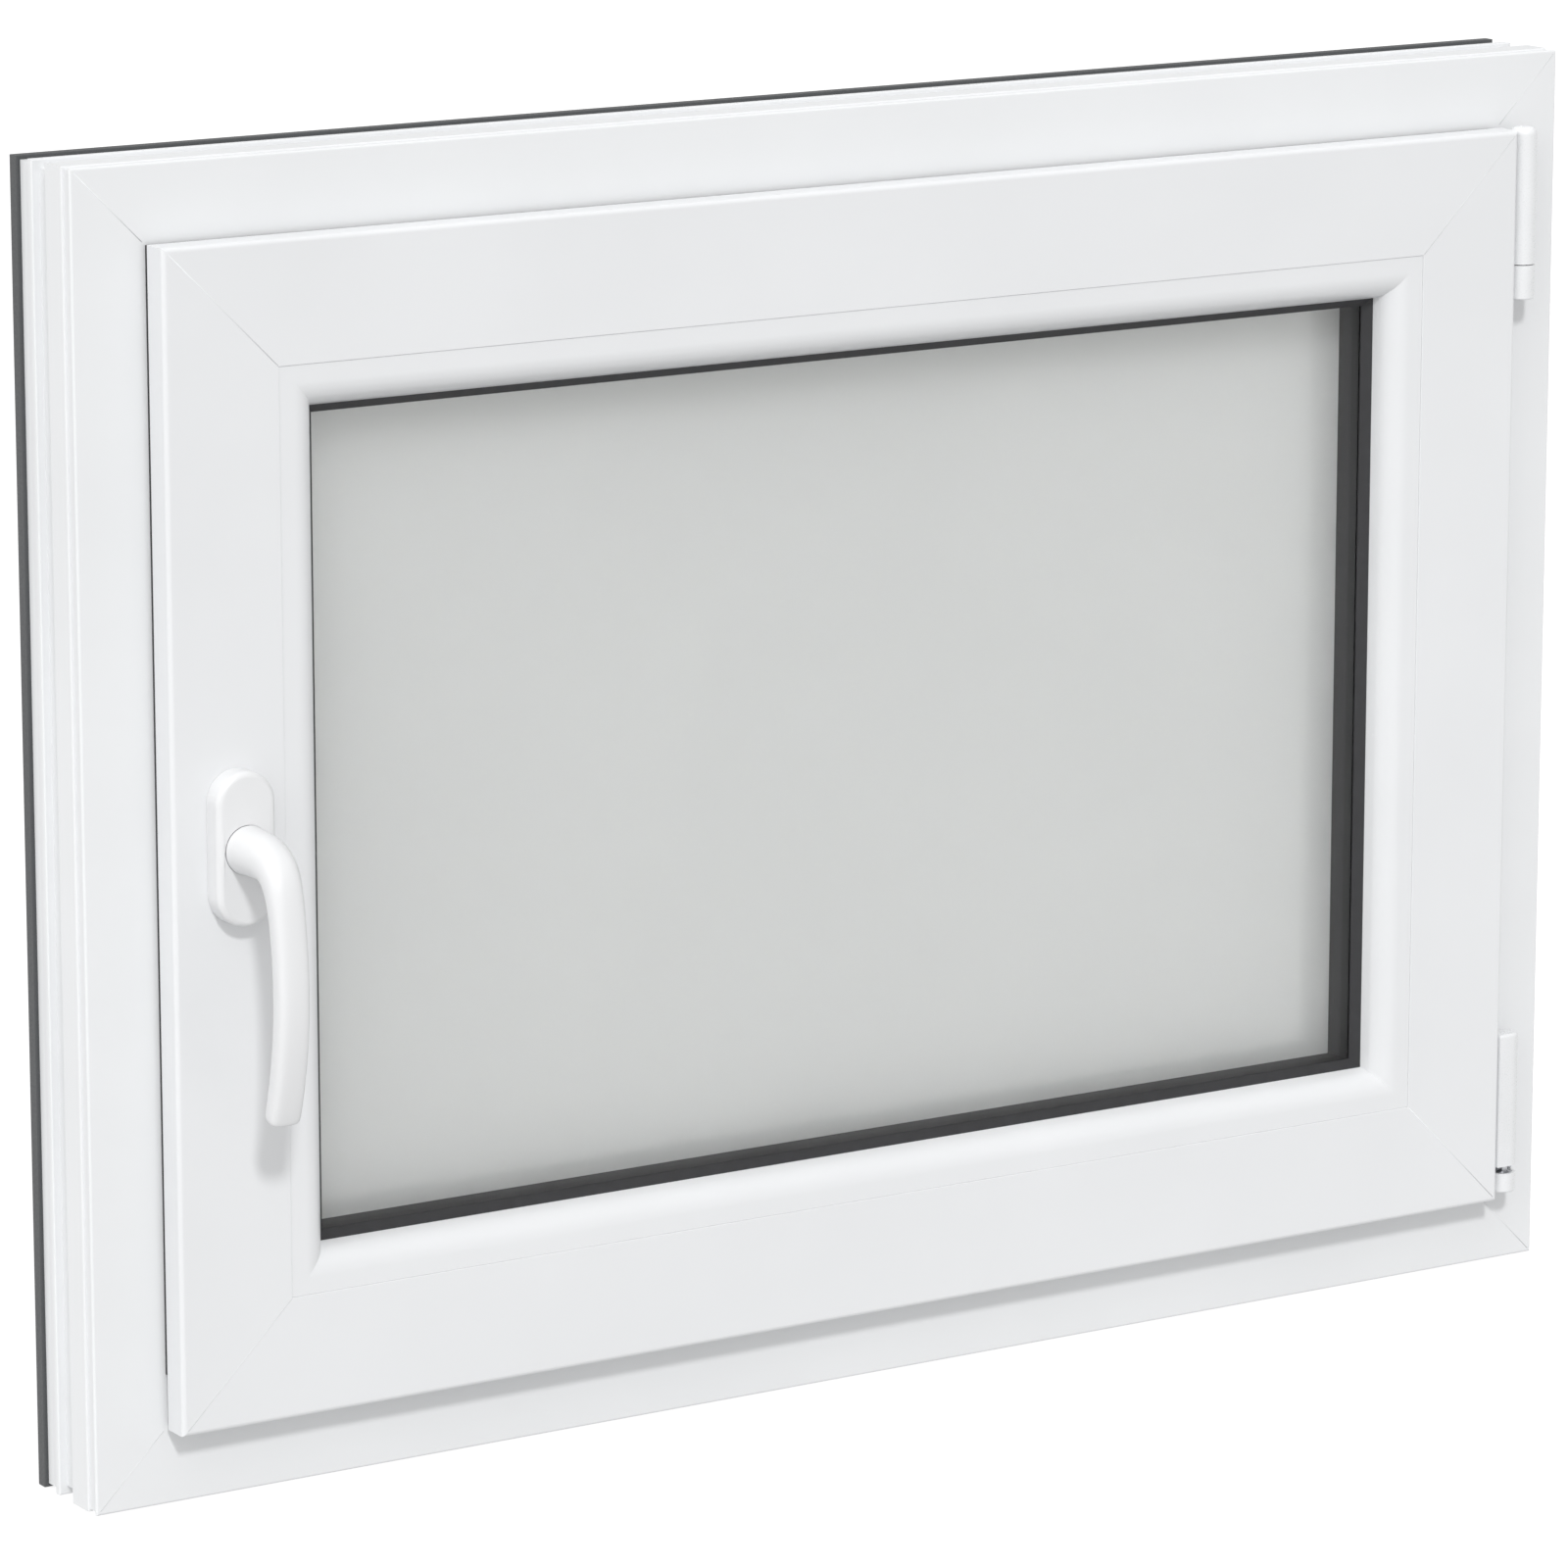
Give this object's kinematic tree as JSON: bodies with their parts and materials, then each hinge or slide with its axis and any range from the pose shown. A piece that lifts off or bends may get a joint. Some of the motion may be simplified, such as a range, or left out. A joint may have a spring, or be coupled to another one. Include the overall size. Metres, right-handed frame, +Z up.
{
  "type": "tilt-and-turn casement window",
  "caption": "Inward-opening tilt-and-turn casement window with a white hollow-profile frame and sash, sealed double glazing, lever handle and dark outdoor skin.",
  "frame": {"origin": "on the flat underside of the sill, at mid-width and in the middle of the rib that rests on the wall", "axes": "+X to the right seen from the room, +Y to the outdoors, +Z up"},
  "size_m": [0.8, 0.1323, 0.6],
  "materials": {
    "frame_plastic": "smooth white extruded window plastic, satin",
    "sash_plastic": "smooth white extruded window plastic, satin",
    "bead_plastic": "smooth white extruded glazing bead, satin",
    "outdoor_cladding": "fine matt anthracite powder coat on aluminium",
    "gasket_rubber": "matt black gasket rubber",
    "pane_glass": "clear float glass",
    "edge_seal": "black warm-edge spacer and sealant",
    "galvanised_steel": "galvanised steel tube",
    "zinc_steel": "bright zinc-plated steel",
    "packer_plastic": "moulded glazing packer",
    "handle_paint": "smooth white powder coat on aluminium",
    "base_plastic": "moulded light grey plastic",
    "hinge_cover_plastic": "smooth white moulded cover",
    "dark_plastic": "moulded dark grey cap"
  },
  "bodies": {
    "frame": {"bearing_pegs": "zinc_steel", "cam_keeps": "zinc_steel", "drainage_caps": "dark_plastic", "frame_cladding_head": "outdoor_cladding", "frame_cladding_jamb_left": "outdoor_cladding", "frame_cladding_jamb_right": "outdoor_cladding", "frame_cladding_sill": "outdoor_cladding", "frame_gasket": "gasket_rubber", "frame_head": "frame_plastic", "frame_jamb_left": "frame_plastic", "frame_jamb_right": "frame_plastic", "frame_reinforcement": "galvanised_steel", "frame_sill": "frame_plastic", "keep_screws": "zinc_steel", "lower_hinge_bearing": "zinc_steel", "lower_hinge_cover": "hinge_cover_plastic", "upper_hinge_bearing": "zinc_steel", "upper_hinge_cover": "hinge_cover_plastic", "upper_hinge_pin": "zinc_steel"},
    "hinge_link": {"swivel_link": "zinc_steel", "tilt_pin": "zinc_steel"},
    "sash": {"bead_gasket": "gasket_rubber", "corner_drives": "zinc_steel", "gearbox_case": "zinc_steel", "glass_edge_seal": "edge_seal", "glass_pane_inner": "pane_glass", "glass_pane_outer": "pane_glass", "glass_spacer": "edge_seal", "glazing_bead_bottom": "bead_plastic", "glazing_bead_left": "bead_plastic", "glazing_bead_right": "bead_plastic", "glazing_bead_top": "bead_plastic", "glazing_packers": "packer_plastic", "handle_base": "base_plastic", "handle_rosette": "handle_paint", "handle_screws": "zinc_steel", "lock_faceplate": "zinc_steel", "outer_glazing_gasket": "gasket_rubber", "sash_bottom_rail": "sash_plastic", "sash_cladding_bottom_rail": "outdoor_cladding", "sash_cladding_hinge_stile": "outdoor_cladding", "sash_cladding_lock_stile": "outdoor_cladding", "sash_cladding_top_rail": "outdoor_cladding", "sash_gasket": "gasket_rubber", "sash_hinge_bracket": "zinc_steel", "sash_hinge_cover": "hinge_cover_plastic", "sash_hinge_screws": "zinc_steel", "sash_hinge_stile": "sash_plastic", "sash_lock_stile": "sash_plastic", "sash_reinforcement": "galvanised_steel", "sash_top_rail": "sash_plastic", "stay_guide": "zinc_steel"},
    "handle": {"handle_lever": "handle_paint", "handle_spindle": "zinc_steel", "gear_pinion": "zinc_steel"},
    "drive_rod": {"drive_rod": "zinc_steel", "locking_cams": "zinc_steel"},
    "stay_arm": {"stay_arm": "zinc_steel", "stay_slider": "zinc_steel", "stay_arm_cover": "hinge_cover_plastic"}
  },
  "joints": [
    {"name": "sash_turn", "type": "hinge", "parent": "frame", "child": "hinge_link", "pos_m": [0.3725, -0.027, 0.051], "axis": [0, 0, 1], "range_deg": [0, 90]},
    {"name": "sash_tilt", "type": "hinge", "parent": "hinge_link", "child": "sash", "pos_m": [0.3725, -0.027, 0.051], "axis": [1, 0, 0], "range_deg": [0, 8]},
    {"name": "stay_swing", "type": "hinge", "parent": "hinge_link", "child": "stay_arm", "pos_m": [0.3725, -0.027, 0.53], "axis": [0, 0, 1], "range_deg": [0, 16]},
    {"name": "handle_turn", "type": "hinge", "parent": "sash", "child": "handle", "pos_m": [-0.334, -0.033, 0.3], "axis": [0, -1, 0], "range_deg": [0, 180]},
    {"name": "rod_slide", "type": "slide", "parent": "sash", "child": "drive_rod", "axis": [0, 0, -1], "range_m": [0, 0.02514]}
  ],
  "couplings": [
    {"joint": "stay_swing", "follows": "sash_tilt", "ratio": 2},
    {"joint": "rod_slide", "follows": "handle_turn", "m_per_rad": 0.008}
  ]
}
